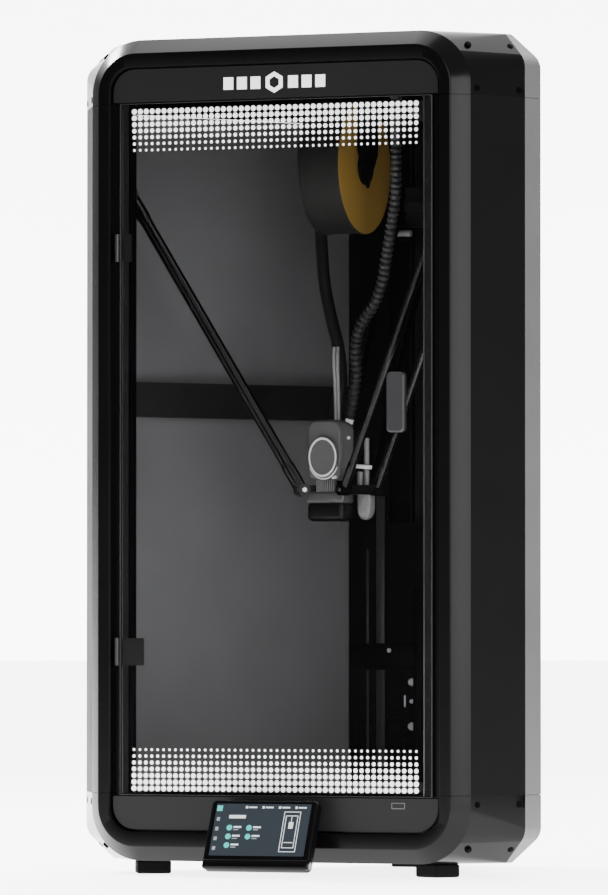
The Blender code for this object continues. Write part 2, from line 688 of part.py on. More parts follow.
def smooth_route(points, spacing):
    """Catmull-Rom points along a chosen route, about one every spacing."""
    ends = [Vector(p) for p in points]
    path = [ends[0] * 2 - ends[1]] + ends + [ends[-1] * 2 - ends[-2]]
    made = []
    for a, b, c, d in zip(path, path[1:], path[2:], path[3:]):
        count = max(1, round((c - b).length / spacing))
        for k in range(count):
            t = k / count
            made.append(
                (b * 2 + (c - a) * t + (a * 2 - b * 5 + c * 4 - d) * t**2 + (b * 3 - a - c * 3 + d) * t**3) / 2
            )
    return made + [ends[-1]]


def tube(name, route, radius, finish):
    """Round tube along a route, as a bevelled curve with filled caps made into a mesh."""
    curve = bpy.data.curves.new(name, "CURVE")
    curve.dimensions = "3D"
    curve.bevel_depth = radius
    curve.bevel_resolution = 2
    curve.use_fill_caps = True
    spline = curve.splines.new("POLY")
    spline.points.add(len(route) - 1)
    for point, place in zip(spline.points, route):
        point.co = (*place, 1)
    guide = bpy.data.objects.new(name + "_curve", curve)
    PARTS.objects.link(guide)
    bpy.context.view_layer.update()
    evaluated = guide.evaluated_get(bpy.context.evaluated_depsgraph_get())
    data = bpy.data.meshes.new_from_object(evaluated)
    bpy.data.objects.remove(guide, do_unlink=True)
    welded = bmesh.new()
    welded.from_mesh(data)
    bmesh.ops.remove_doubles(welded, verts=welded.verts, dist=1e-5)
    return put(name, welded, finish)


tube("air_hose", smooth_route(HOSE_ROUTE, 0.026), HOSE_RADIUS, HOSE_GREY)
tube("cable_sleeve", smooth_route(SLEEVE_ROUTE, 0.032), SLEEVE_RADIUS, RUBBER)

# ---- Bed ----------------------------------------------------------------------------------------
put("print_bed", rod((0, CENTRE_Y, BED_TOP - BED_THICK), (0, CENTRE_Y, BED_TOP), BED_RADIUS, 48), BED)

# ---- Spool on its bracket -----------------------------------------------------------------------
half = SPOOL_WIDTH / 2
profile = [
    (half, SPOOL_BORE),
    (half, SPOOL_RADIUS),
    (half - FLANGE_THICK, SPOOL_RADIUS),
    (half - FLANGE_THICK, FILAMENT_RADIUS),
    (-half + FLANGE_THICK, FILAMENT_RADIUS),
    (-half + FLANGE_THICK, SPOOL_RADIUS),
    (-half, SPOOL_RADIUS),
    (-half, SPOOL_BORE),
]
spool_mesh = bmesh.new()
ring = [spool_mesh.verts.new((x, 0, r)) for x, r in profile]
loop = [spool_mesh.edges.new(pair) for pair in zip(ring, ring[1:] + ring[:1])]
bmesh.ops.spin(
    spool_mesh,
    geom=ring + loop,
    cent=(0, 0, 0),
    axis=(1, 0, 0),
    angle=math.tau,
    steps=36,
    use_merge=True,
)
put("spool", spool_mesh, GOLD, Matrix.Translation((0, SPOOL_Y, SPOOL_Z)))

arm_near = half + 0.003
arm_far = arm_near + BRACKET_THICK
BRACKET_TOP = BODY_HIGH - WALL - 2 * GAP
arm_outline = [
    (SPOOL_Y - 0.034, BRACKET_TOP),
    (SPOOL_Y - 0.034, SPOOL_Z + 0.020),
    (SPOOL_Y, SPOOL_Z - AXLE_RADIUS - 0.006),
    (SPOOL_Y + 0.034, SPOOL_Z + 0.020),
    (SPOOL_Y + 0.034, BRACKET_TOP),
]
bracket = put("spool_bracket", side_plate(arm_outline, arm_near, arm_far), MATT_BLACK)
other_arm = put("bracket_arm", side_plate(arm_outline, -arm_far, -arm_near), MATT_BLACK, None, CUTTERS)
combine(bracket, other_arm, "UNION")
bridge = box(
    (-arm_far, SPOOL_Y - 0.034, BRACKET_TOP - BRACKET_THICK), (arm_far, SPOOL_Y + 0.034, BRACKET_TOP)
)
combine(bracket, put("bracket_bridge", bridge, MATT_BLACK, None, CUTTERS), "UNION")
axle = rod((-arm_near - 0.001, SPOOL_Y, SPOOL_Z), (arm_near + 0.001, SPOOL_Y, SPOOL_Z), AXLE_RADIUS, 24)
combine(bracket, put("bracket_axle", axle, MATT_BLACK, None, CUTTERS), "UNION")

# ---- Door ---------------------------------------------------------------------------------------
door_back = DOOR_FRONT_Y + DOOR_THICK
hinge_place = Matrix.Translation((HINGE_X, DOOR_FRONT_Y + DOOR_THICK / 2, 0))
door = box((-DOOR_HALF_WIDTH, DOOR_FRONT_Y, DOOR_BOTTOM), (DOOR_HALF_WIDTH, door_back, DOOR_TOP))
bmesh.ops.transform(door, matrix=hinge_place.inverted(), verts=door.verts)
put("door_glass", door, TINTED_GLASS, hinge_place)
for name, z in zip(("lower", "upper"), HINGE_HEIGHTS):
    low, high = z - HINGE_LENGTH / 2, z + HINGE_LENGTH / 2
    barrel = put(f"hinge_{name}", rod((0, 0, low), (0, 0, high), HINGE_RADIUS, 16), MATT_BLACK, hinge_place)
    reach = {"lower": 0.042, "upper": 0.022}[name]
    leaf = box((0, DOOR_THICK / 2 + GAP, low), (reach, DOOR_THICK / 2 + GAP + 0.0022, high))
    combine(barrel, put(f"hinge_{name}_leaf", leaf, MATT_BLACK, hinge_place, CUTTERS), "UNION")
w, d, h = HANDLE_SIZE
handle_low = DOOR_FRONT_Y - GAP
outline = [(x + HANDLE_X, z) for x, z in rounded(w / 2, HANDLE_Z - h / 2, HANDLE_Z + h / 2, 0.008, steps=4)]
handle = front_plate(outline, handle_low - d, handle_low)
bmesh.ops.transform(handle, matrix=hinge_place.inverted(), verts=handle.verts)
put("door_handle", handle, GREY_PLASTIC, hinge_place)

# ---- Touch screen and its bracket ---------------------------------------------------------------
lean = Matrix.Rotation(math.radians(-SCREEN_TILT), 4, "X")
screen_place = Matrix.Translation((0, SCREEN_TOP[0], SCREEN_TOP[1])) @ lean
panel = box((-SCREEN_WIDTH / 2, 0, -SCREEN_HEIGHT), (SCREEN_WIDTH / 2, SCREEN_THICK, 0))
pivot_place = Matrix.Translation(PIVOT)
bmesh.ops.transform(panel, matrix=pivot_place.inverted() @ screen_place, verts=panel.verts)
screen = put("screen", panel, SCREEN_BLACK, pivot_place)
edge = screen.modifiers.new("rounding", "BEVEL")
edge.width = 0.003
edge.segments = 2

for side in (-1, 1):
    near = (side * (BARREL_HALF + GAP), PIVOT[1], PIVOT[2])
    far = (side * LUG_REACH, PIVOT[1], PIVOT[2])
    lug = rod(near, far, PIVOT_RADIUS + 0.001, 16)
    combine(screen, put(f"screen_lug_{side}", lug, SCREEN_BLACK, None, CUTTERS), "UNION")
start = (-BARREL_HALF, PIVOT[1], PIVOT[2])
bracket = put("screen_bracket", rod(start, (BARREL_HALF, PIVOT[1], PIVOT[2]), PIVOT_RADIUS, 16), MATT_BLACK)
low = (-BARREL_HALF + 0.001, PIVOT[1], PIVOT[2] - PIVOT_RADIUS + 0.001)
tongue = box(low, (BARREL_HALF - 0.001, -GAP, PIVOT[2] + PIVOT_RADIUS - 0.001))
plate = box((-0.030, -0.004, RING_BOTTOM - 0.021), (0.030, -2 * GAP, RING_BOTTOM - 0.0005))
combine(bracket, put("bracket_tongue", tongue, MATT_BLACK, None, CUTTERS), "UNION")
combine(bracket, put("bracket_plate", plate, MATT_BLACK, None, CUTTERS), "UNION")

# ---- The origin is at the middle of the whole in plan, on the floor -----------------------------
bpy.context.view_layer.update()
graph = bpy.context.evaluated_depsgraph_get()
reach = []
for piece in PARTS.objects:
    corners = piece.evaluated_get(graph).bound_box
    reach += [(piece.matrix_world @ Vector(corner)).y for corner in corners]
middle_y = (min(reach) + max(reach)) / 2
for piece in (*PARTS.objects, *CUTTERS.objects):
    piece.location.y -= middle_y
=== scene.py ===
"""Looks of an enclosed delta 3D printer: black triangular cabinet, dotted glass door, head on six arms."""

import math

import bmesh
import bpy
from mathutils import Matrix, Vector
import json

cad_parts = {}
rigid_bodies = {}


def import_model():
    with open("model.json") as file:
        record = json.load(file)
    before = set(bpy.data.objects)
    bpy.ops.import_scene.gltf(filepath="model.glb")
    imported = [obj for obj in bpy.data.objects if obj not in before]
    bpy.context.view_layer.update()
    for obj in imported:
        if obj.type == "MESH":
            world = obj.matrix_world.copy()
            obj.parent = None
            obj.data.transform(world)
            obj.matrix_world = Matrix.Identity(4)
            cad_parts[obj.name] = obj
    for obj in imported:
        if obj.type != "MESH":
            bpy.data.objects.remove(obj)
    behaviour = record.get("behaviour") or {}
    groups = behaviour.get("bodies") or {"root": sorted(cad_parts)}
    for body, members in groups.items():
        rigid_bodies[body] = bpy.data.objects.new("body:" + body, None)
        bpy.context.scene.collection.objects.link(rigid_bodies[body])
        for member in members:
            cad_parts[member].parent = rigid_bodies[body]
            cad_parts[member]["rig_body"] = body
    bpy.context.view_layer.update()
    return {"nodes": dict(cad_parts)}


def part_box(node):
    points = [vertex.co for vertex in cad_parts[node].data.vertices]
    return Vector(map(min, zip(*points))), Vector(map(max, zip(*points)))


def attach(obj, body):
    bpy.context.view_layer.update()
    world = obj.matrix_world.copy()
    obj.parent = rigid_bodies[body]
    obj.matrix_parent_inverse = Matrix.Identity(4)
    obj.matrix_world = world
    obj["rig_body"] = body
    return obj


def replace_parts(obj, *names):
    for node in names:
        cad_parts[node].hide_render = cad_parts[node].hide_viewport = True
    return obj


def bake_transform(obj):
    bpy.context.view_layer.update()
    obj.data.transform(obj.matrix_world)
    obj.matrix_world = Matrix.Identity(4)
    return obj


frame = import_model()

# Cabinet caps and front frame: folded steel, black powder coat, each cap welded to its arch of the
# frame. The sides curve in at top and bottom, and the frame has a wide chamfer and a flat ring.
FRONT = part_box("base_pan")[0].y  # plane of the ring's face
CENTRE_Y = 0.239 + FRONT
BODY_LOW, BODY_HIGH = 0.020, 1.220
SEAM_LOW, SEAM_HIGH = 0.119, 1.125
HALF, DEPTH, CORNER = 0.300, 0.025, 0.080  # frame's half width, depth and corner radius
SLOPE_START, SOFT_BEND, HARD_BEND = 0.052, 0.028, 0.006  # caps' sides: how far down, and their bends
ARCH_SHARE = 0.84  # part of the frame's corner that the two bends span
FLATS = [
    (-90, 0.214),
    (-30, 0.3668),
    (-18, 0.3720),
    (30, 0.2648),
    (78, 0.3930),
    (90, 0.3913),
    (102, 0.3930),
    (150, 0.2648),
    (198, 0.3720),
    (210, 0.3668),
]


class Sock:
    """A shader socket: arithmetic on it adds Math nodes, and node() adds any other node."""

    def __init__(self, tree, socket):
        self.tree, self.socket = tree, socket

    def math(self, operation, *values):
        made = self.tree.nodes.new("ShaderNodeMath")
        made.operation = operation
        for slot, value in zip(made.inputs, values):
            if isinstance(value, Sock):
                self.tree.links.new(value.socket, slot)
            else:
                slot.default_value = value
        return Sock(self.tree, made.outputs[0])

    def __add__(self, other):
        return self.math("ADD", self, other)

    def __sub__(self, other):
        return self.math("SUBTRACT", self, other)

    def __rsub__(self, other):
        return self.math("SUBTRACT", other, self)

    def __mul__(self, other):
        return self.math("MULTIPLY", self, other)

    def clamp(self):
        return self.math("MINIMUM", self.math("MAXIMUM", self, 0.0), 1.0)

    def clamp_low(self):
        return self.math("MAXIMUM", self, 0.1)

    __radd__ = __add__
    __rmul__ = __mul__


def node(tree, kind, output=0, settings=None, **inputs):
    made = tree.nodes.new(kind)
    for name, value in (settings or {}).items():
        setattr(made, name, value)
    for name, value in inputs.items():
        slot = made.inputs[name.replace("_", " ")]
        if isinstance(value, Sock):
            tree.links.new(value.socket, slot)
        else:
            slot.default_value = value
    return Sock(tree, made.outputs[output])


def mixed(tree, factor, first, second):
    """Colour between two colours."""
    made = tree.nodes.new("ShaderNodeMix")
    made.data_type = "RGBA"
    tree.links.new(factor.socket, made.inputs[0])
    for slot, value in ((6, first), (7, second)):
        if isinstance(value, Sock):
            tree.links.new(value.socket, made.inputs[slot])
        else:
            made.inputs[slot].default_value = (*value, 1)
    return Sock(tree, made.outputs[2])


def finish(
    name,
    colour,
    roughness,
    metallic=0.0,
    specular=0.5,
    grain=900.0,
    bump=0.05,
    wear=0.15,
    coat=0.0,
):
    """Surface with fine grain in its bump and slow drift in colour and roughness."""
    made = bpy.data.materials.new(name)
    made.use_nodes = True
    tree = made.node_tree
    shader = tree.nodes["Principled BSDF"]
    place = node(tree, "ShaderNodeTexCoord", 3)
    fine = node(tree, "ShaderNodeTexNoise", Vector=place, Scale=grain, Detail=2.0)
    slow = node(tree, "ShaderNodeTexNoise", Vector=place, Scale=7.0, Detail=3.0)
    tint = mixed(tree, slow, [c * (1 - wear) for c in colour], [c * (1 + wear) for c in colour])
    tree.links.new(tint.socket, shader.inputs["Base Color"])
    rough = (slow - 0.5) * (roughness * wear * 2) + (fine - 0.5) * (roughness * 0.12) + roughness
    tree.links.new(rough.clamp().socket, shader.inputs["Roughness"])
    if bump:
        relief = node(tree, "ShaderNodeBump", Height=fine, Strength=bump, Distance=0.0002)
        tree.links.new(relief.socket, shader.inputs["Normal"])
    shader.inputs["Metallic"].default_value = metallic
    shader.inputs["Specular IOR Level"].default_value = specular
    shader.inputs["Coat Weight"].default_value = coat
    shader.inputs["Coat Roughness"].default_value = 0.08
    made.diffuse_color = (*colour, 1)
    return made


def piece(name, mesh, paint, body, sharp=35.0):
    """Object from a bmesh laid out from the ring's plane, riding on a body."""
    bmesh.ops.remove_doubles(mesh, verts=mesh.verts, dist=1e-6)
    bmesh.ops.recalc_face_normals(mesh, faces=mesh.faces)
    for face in mesh.faces:
        face.smooth = True
    for edge in mesh.edges:
        edge.smooth = len(edge.link_faces) == 2 and edge.calc_face_angle(0) < math.radians(sharp)
    data = bpy.data.meshes.new(name)
    mesh.to_mesh(data)
    mesh.free()
    data.transform(Matrix.Translation((0, FRONT, 0)))
    for one in paint if isinstance(paint, (list, tuple)) else [paint]:
        data.materials.append(one)
    made = bpy.data.objects.new(name, data)
    bpy.context.scene.collection.objects.link(made)
    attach(made, body)
    return made


def outline(inset, front=DEPTH):
    """Plan corners of the cabinet; corner k lies between flats k and k + 1."""
    flats = [(a, d - inset) for a, d in FLATS]
    flats[0] = (-90, 0.239 - front)
    corners = []
    for (a, d), (b, e) in zip(flats, flats[1:] + flats[:1]):
        a, b = math.radians(a), math.radians(b)
        x = (d * math.sin(b) - e * math.sin(a)) / math.sin(b - a)
        y = (e * math.cos(a) - d * math.cos(b)) / math.sin(b - a) + 0.239
        corners.append(Vector((x, y)))
    return corners


def lofted(mesh, sections, first=True, last=True):
    """Skin that starts as an outline's edges and is extruded to each further outline in turn."""
    ring = [mesh.verts.new(point) for point in sections[0]]
    edges = [mesh.edges.new(pair) for pair in zip(ring, ring[1:] + ring[:1])]
    if first:
        mesh.faces.new(ring)
    for section in sections[1:]:
        made = bmesh.ops.extrude_edge_only(mesh, edges=edges)["geom"]
        fresh = {part for part in made if isinstance(part, bmesh.types.BMVert)}
        edges = [part for part in made if isinstance(part, bmesh.types.BMEdge) and fresh.issuperset(part.verts)]
        ring = [next(e.other_vert(v) for e in v.link_edges if e.other_vert(v) in fresh) for v in ring]
        for vert, point in zip(ring, section):
            vert.co = point
    if last:
        mesh.faces.new(ring)


def rounded(half, low, high, radius, lower=None, steps=12):
    """Rectangle centred on x = 0 with arcs at its corners, as (x, z) points."""
    lower = radius if lower is None else lower
    points = []
    for x, z, r, start in (
        (half, low, lower, -90),
        (half, high, radius, 0),
        (-half, high, radius, 90),
        (-half, low, lower, 180),
    ):
        cx = x - math.copysign(r, x)
        cz = z + r if z == low else z - r
        for k in range(steps + 1):
            a = math.radians(start + 90 * k / steps)
            points.append((cx + r * math.cos(a), cz + r * math.sin(a)))
    return points


def cap_skin(mesh, seam, end, steps=8):
    """Outer skin of a cap behind the front frame: each side bends in to a flat slope, then to the end."""
    up = math.copysign(1, end - seam)
    profile = [(0.0, abs(end - seam), 0.0)]
    for k in range(steps + 1):
        turn = math.radians(45 * k / steps)
        way_in, down = SOFT_BEND * (1 - math.cos(turn)), SLOPE_START - SOFT_BEND * math.sin(turn)
        profile.append((way_in, down, turn * ARCH_SHARE))
    reach = profile[-1][0] + profile[-1][1] - HARD_BEND * 0.293
    for k in range(steps + 1):
        turn = math.radians(45 + 45 * k / steps)
        way_in, down = reach + HARD_BEND * (0.7071 - math.cos(turn)), HARD_BEND * (1 - math.sin(turn))
        profile.append((way_in, down, math.radians(90) - (math.radians(90) - turn) * ARCH_SHARE))
    rings = []
    for number, (way_in, down, turn) in enumerate(profile):
        corner = HALF - CORNER * (1 - math.cos(turn))
        edge = end - up * (CORNER * (1 - math.sin(turn)) if number else down)
        ring = [mesh.verts.new((x, y, end - up * down)) for x, y in outline(way_in)]
        ring[0].co, ring[-1].co = (corner, DEPTH, edge), (-corner, DEPTH, edge)
        rings.append(ring)
    for ring, after in zip(rings, rings[1:]):
        for k in range(len(ring) - 1):
            face = mesh.faces.new((ring[k], ring[k + 1], after[k + 1], after[k]))
            face.material_index = 1 if k in (1, len(ring) - 3) else 0
    mesh.faces.new(rings[-1])


def front_frame():
    """The whole front frame: chamfer, ring with eased edges, recess and door opening."""
    sections = [
        (HALF - 0.004, DEPTH + 0.004, CORNER - 0.004),
        (HALF, DEPTH, CORNER),
        (0.27955, 0.0012, 0.05955),
        (0.27865, 0.0004, 0.05865),
        (0.27745, 0.0, 0.05745),
        (0.2622, 0.0, 0.0394),
        (0.2606, 0.0005, 0.0374),
        (0.2597, 0.0022, 0.0360),
        (0.2597, 0.0150, 0.0360),
        (0.2320, 0.0150, 0.0100),
        (0.2300, 0.0150, 0.0080),
        (0.2300, 0.0280, 0.0080),
    ]
    mesh = bmesh.new()
    outlines = []
    for half, y, radius in sections:
        drop = HALF - half
        if half > 0.2596:
            low, high = BODY_LOW + drop, BODY_HIGH - drop
            if half < 0.2619:
                low, high = 0.0640 - (half - 0.2597), 1.1780 + (half - 0.2597)
        else:
            low, high = SEAM_LOW, SEAM_HIGH
        outlines.append([(x, y, z) for x, z in rounded(half, low, high, radius, steps=16)])
    lofted(mesh, outlines, first=False, last=False)
    return mesh


def keep_between(mesh, low, high):
    for z, side in ((low, -1), (high, 1)):
        geometry = mesh.verts[:] + mesh.edges[:] + mesh.faces[:]
        bmesh.ops.bisect_plane(
            mesh, geom=geometry, plane_co=(0, 0, z), plane_no=(0, 0, side), clear_outer=True
        )


cabinet_black = finish(
    "cabinet_black", (0.0012, 0.0012, 0.0014), 0.20, specular=0.11, grain=1400, bump=0.10
)
post_satin = finish("post_satin", (0.060, 0.060, 0.062), 0.32, metallic=0.15, specular=0.5, bump=0.08)
for name, seam, end, low, high in (
    ("top_cap", SEAM_HIGH + 0.0003, BODY_HIGH, SEAM_HIGH + 0.0003, 2.0),
    ("base_pan", SEAM_LOW - 0.0003, BODY_LOW, -1.0, SEAM_LOW - 0.0003),
):
    shell = front_frame()
    keep_between(shell, low, high)
    cap_skin(shell, seam, end)
    shell = piece(f"{name}_shell", shell, [cabinet_black, post_satin], "cabinet", 9.0)
    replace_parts(shell, name)
posts = front_frame()
keep_between(posts, SEAM_LOW + 0.0003, SEAM_HIGH - 0.0003)
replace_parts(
    piece("front_posts", posts, cabinet_black, "cabinet", 14.0),
    "front_post_left",
    "front_post_right",
)

# Side covers, rear posts, spine and rear walls: sheet steel panels screwed on between the caps. The
# covers are matt and textured, the posts satin, and the walls are smooth enough to mirror the light.
cover_black = finish("cover_black", (0.0022, 0.0022, 0.0024), 0.45, specular=0.045, grain=1600, bump=0.2)
wall_grey = finish("wall_grey", (0.16, 0.16, 0.165), 0.25, specular=0.5, grain=1100, bump=0.06)
WALL_MIDDLE = 0.2633  # the walls' mid-plane from the delta's axis: black paint outside it, grey inside
tree = wall_grey.node_tree
place = node(tree, "ShaderNodeTexCoord", 3)
across = node(tree, "ShaderNodeSeparateXYZ", 0, Vector=place)
back = node(tree, "ShaderNodeSeparateXYZ", 1, Vector=place)
depth = across.math("ABSOLUTE", across) * 0.8660 + (back - CENTRE_Y) * 0.5
outside = ((depth - WALL_MIDDLE) * 4000.0).clamp()
inner = Sock(tree, tree.nodes["Principled BSDF"].inputs["Base Color"].links[0].from_socket)
tint = mixed(tree, outside, inner, (0.010, 0.010, 0.0105))
tree.links.new(tint.socket, tree.nodes["Principled BSDF"].inputs["Base Color"])
matt_black = finish("matt_black", (0.002, 0.002, 0.0022), 0.50, specular=0.08, bump=0.12)
bar_black = finish("bar_black", (0.012, 0.012, 0.0125), 0.45, specular=0.3, bump=0.1)


def dress(paint, *names):
    for name in names:
        frame["nodes"][name].data.materials.clear()
        frame["nodes"][name].data.materials.append(paint)


dress(cover_black, "side_cover_left", "side_cover_right")
dress(post_satin, "rear_post_left", "rear_post_right")
dress(wall_grey, "rear_wall_left", "rear_wall_right")
dress(matt_black, "rear_spine", "rear_shroud", "deck_plate")
dress(bar_black, "crossbar_left", "crossbar_right")

# Cabinet screws: black button heads with a hex socket, two at each end of every side cover and two
# on each cap's slope.


def rod(mesh, start, end, radius, sides=24, end_radius=None, caps=True):
    start, end = Vector(start), Vector(end)
    turn = (end - start).to_track_quat("Z", "Y").to_matrix().to_4x4()
    return bmesh.ops.create_cone(
        mesh,
        cap_ends=caps,
        segments=sides,
        radius1=radius,
        radius2=radius if end_radius is None else end_radius,
        depth=(end - start).length,
        matrix=Matrix.Translation((start + end) / 2) @ turn,
    )["verts"]


def box(mesh, low, high, ease=0.0, steps=2):
    size = [b - a for a, b in zip(low, high)]
    middle = [(a + b) / 2 for a, b in zip(low, high)]
    place = Matrix.Translation(middle) @ Matrix.Diagonal((*size, 1))
    verts = bmesh.ops.create_cube(mesh, size=1, matrix=place)["verts"]
    if ease:
        edges = {e for v in verts for e in v.link_edges}
        made = bmesh.ops.bevel(
            mesh, geom=list(edges), offset=ease, segments=steps, profile=0.5, affect="EDGES", material=-1
        )
        verts = [v for v in {*made["verts"], *verts} if v.is_valid]
    return verts


screw_black = finish("screw_black", (0.0004, 0.0004, 0.0004), 0.6, specular=0.02, grain=300)
screws = bmesh.new()
for z, way_in, tilt in ((0.106, 0, 0), (1.135, 0, 0), (0.040, 0.0205, -45), (1.200, 0.0205, 45)):
    for share in (0.12, 0.89):
        foot = Vector((0.300, 0.025)).lerp(Vector((0.3495, 0.1107)), share)
        for sign in (1, -1):
            level = Vector((0.866 * sign, -0.5, 0))
            base = Vector((foot.x * sign, foot.y, z)) - level * way_in
            out = level * math.cos(math.radians(tilt)) + Vector((0, 0, math.sin(math.radians(tilt))))
            rod(screws, base - out * 0.002, base + out * 0.0007, 0.0052, 20, 0.0045)
            rod(screws, base + out * 0.0006, base + out * 0.0009, 0.0024, 6)
piece("cabinet_screws", screws, screw_black, "cabinet")

# Fascias: satin steel strips set in the frame's recess over and under the door. The upper one carries
# a plain white mark and the lower one a USB socket.
fascia_black = finish("fascia_black", (0.006, 0.006, 0.0064), 0.40, specular=0.14, grain=1500, bump=0.1)
print_white = finish("print_white", (0.85, 0.85, 0.85), 0.45, specular=0.3, bump=0.0, wear=0.02)
dress(fascia_black, "fascia_top", "fascia_bottom")


def front_plate(mesh, points, y_front, y_back):
    """Solid with a front outline of (x, z) points."""
    near = mesh.faces.new([mesh.verts.new((x, y_front, z)) for x, z in points])
    made = bmesh.ops.extrude_face_region(mesh, geom=[near], use_keep_orig=True)["geom"]
    far = [part for part in made if isinstance(part, bmesh.types.BMVert)]
    bmesh.ops.translate(mesh, vec=(0, y_back - y_front, 0), verts=far)


mark = bmesh.new()
middle = 1.1505
for sign in (-1, 1):
    for k in range(3):
        start = 0.022 + k * 0.0215
        points = [(start, middle - 0.0090), (start + 0.0155, middle - 0.0090)]
        points += [(start + 0.0155, middle + 0.0090), (start, middle + 0.0090)]
        front_plate(mark, [(sign * x, z) for x, z in points][::sign], 0.0058, 0.0062)
turns = [math.tau * k / 6 for k in range(7)]
corners = [(0.0155 * math.sin(a), 0.0155 * math.cos(a)) for a in turns]
edges = ((1.0, 0.0058), (0.55, 0.0058), (0.55, 0.0062), (1.0, 0.0062))
sections = [[(x * share, y, middle + z * share) for share, y in edges] for x, z in corners]
lofted(mark, sections, first=False, last=False)
piece("fascia_mark", mark, print_white, "cabinet")

socket_dark = finish("socket_dark", (0.003, 0.003, 0.003), 0.4, specular=0.2)
socket_rim = finish("socket_rim", (0.10, 0.10, 0.10), 0.3, metallic=0.8)
usb = bmesh.new()
front_plate(usb, rounded(0.0105, -0.0045, 0.0045, 0.001, steps=3), 0.0055, 0.0061)
bmesh.ops.translate(usb, vec=(0.195, 0, 0.104), verts=usb.verts)
piece("usb_rim", usb, socket_rim, "cabinet")
usb = bmesh.new()
front_plate(usb, rounded(0.0093, -0.0034, 0.0034, 0.0006, steps=3), 0.0052, 0.0058)
bmesh.ops.translate(usb, vec=(0.195, 0, 0.104), verts=usb.verts)
piece("usb_socket", usb, socket_dark, "cabinet")

# Door: one pane of smoke-tinted toughened glass, its edges polished, with two bands of white ceramic
# dots printed on it that shrink towards the middle.
glass = bpy.data.materials.new("tinted_glass")
glass.use_nodes = True
shader = glass.node_tree.nodes["Principled BSDF"]
place = node(glass.node_tree, "ShaderNodeTexCoord", 3)
haze = node(glass.node_tree, "ShaderNodeTexNoise", Vector=place, Scale=5.0, Detail=3.0)
glass.node_tree.links.new((haze * 0.03 + 0.01).socket, shader.inputs["Roughness"])
glass.node_tree.links.new((haze * 0.04 + 0.22).socket, shader.inputs["Alpha"])
shader.inputs["Base Color"].default_value = (0.0015, 0.0015, 0.0018, 1)
shader.inputs["Specular IOR Level"].default_value = 0.04
glass_edge = finish("glass_edge", (0.030, 0.032, 0.032), 0.15, specular=0.3, bump=0.0)

pane = bmesh.new()
box(pane, (-0.2472, 0.006, 0.1165), (0.2472, 0.010, 1.1255), 0.0006, 1)
for face in pane.faces:
    face.material_index = 0 if abs(face.normal.y) > 0.9 else 1
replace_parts(piece("door_pane", pane, [glass, glass_edge], "door"), "door_glass")

dots = bmesh.new()
SIZES = (0.0081, 0.0080, 0.0075, 0.0068, 0.0059, 0.0048, 0.0039)
for top_row, step in ((1.1136, -0.00942), (0.1260, 0.00942)):
    for row, size in enumerate(SIZES):
        for column in range(48):
            x = -0.22325 + column * 0.0095
            z = top_row + row * step
            turns = [math.tau * k / 12 for k in range(12)]
            ring = [(x + size / 2 * math.cos(a), 0.0058, z + size / 2 * math.sin(a)) for a in turns]
            dots.faces.new([dots.verts.new(point) for point in ring][::-1])
piece("door_dots", dots, print_white, "door")

# Edge trims behind the glass: two thin satin aluminium channels that stiffen the pane's long edges,
# with the rubber seal between them.
trim_metal = finish("trim_metal", (0.22, 0.22, 0.23), 0.30, metallic=0.9, grain=700, bump=0.05)
seal_black = finish("seal_black", (0.006, 0.006, 0.006), 0.7, specular=0.2)
trims = bmesh.new()
for x, width in ((0.2332, 0.0017), (0.2455, 0.0013), (-0.2440, 0.0009)):
    box(trims, (x - width / 2, 0.0103, 0.1180), (x + width / 2, 0.0125, 1.1240))
piece("door_trims", trims, trim_metal, "door")
seals = bmesh.new()
for x in (0.2402, -0.2415):
    box(seals, (x - 0.0062, 0.0112, 0.1180), (x + 0.0062, 0.0128, 1.1240))
piece("door_seals", seals, seal_black, "door")

# Hinges and handle: black die-cast hinge leaves clamped to the pane, and a moulded grey pull.
hinge_black = finish("hinge_black", (0.010, 0.010, 0.010), 0.35, metallic=0.2, specular=0.4)
dress(hinge_black, "hinge_lower", "hinge_upper")
handle_grey = finish("handle_grey", (0.013, 0.013, 0.014), 0.40, specular=0.25, grain=1500, bump=0.1)
pull = bmesh.new()
outlines = []
for half, y, radius in ((0.0140, 0.0057, 0.0070), (0.0140, -0.0020, 0.0070), (0.0118, -0.0042, 0.0055)):
    inset = 0.0140 - half
    points = rounded(half, 0.6405 + inset, 0.7275 - inset, radius, steps=10)
    outlines.append([(x + 0.194, y, z) for x, z in points])
lofted(pull, outlines)
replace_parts(piece("door_pull", pull, handle_grey, "door"), "door_handle")

# Towers: black anodised columns with a ground steel rail each. Motors, pulleys, idlers and belts
# keep their built shapes.
column_black = finish("column_black", (0.012, 0.012, 0.013), 0.35, metallic=0.5)
rubber = finish("rubber", (0.0016, 0.0016, 0.0016), 0.75, specular=0.05, grain=700, bump=0.3)
bright_steel = finish("bright_steel", (0.50, 0.50, 0.51), 0.28, metallic=1.0, grain=500, bump=0.05)
carriage_dark = finish("carriage_dark", (0.03, 0.03, 0.032), 0.35, metallic=0.6)
for side in ("left", "right", "rear"):
    dress(column_black, f"tower_{side}")
    dress(rubber, f"belt_{side}", f"foot_{side}")
    dress(matt_black, f"motor_{side}")
    dress(bright_steel, f"pulley_{side}", f"idler_{side}")
    dress(carriage_dark, f"carriage_{side}")
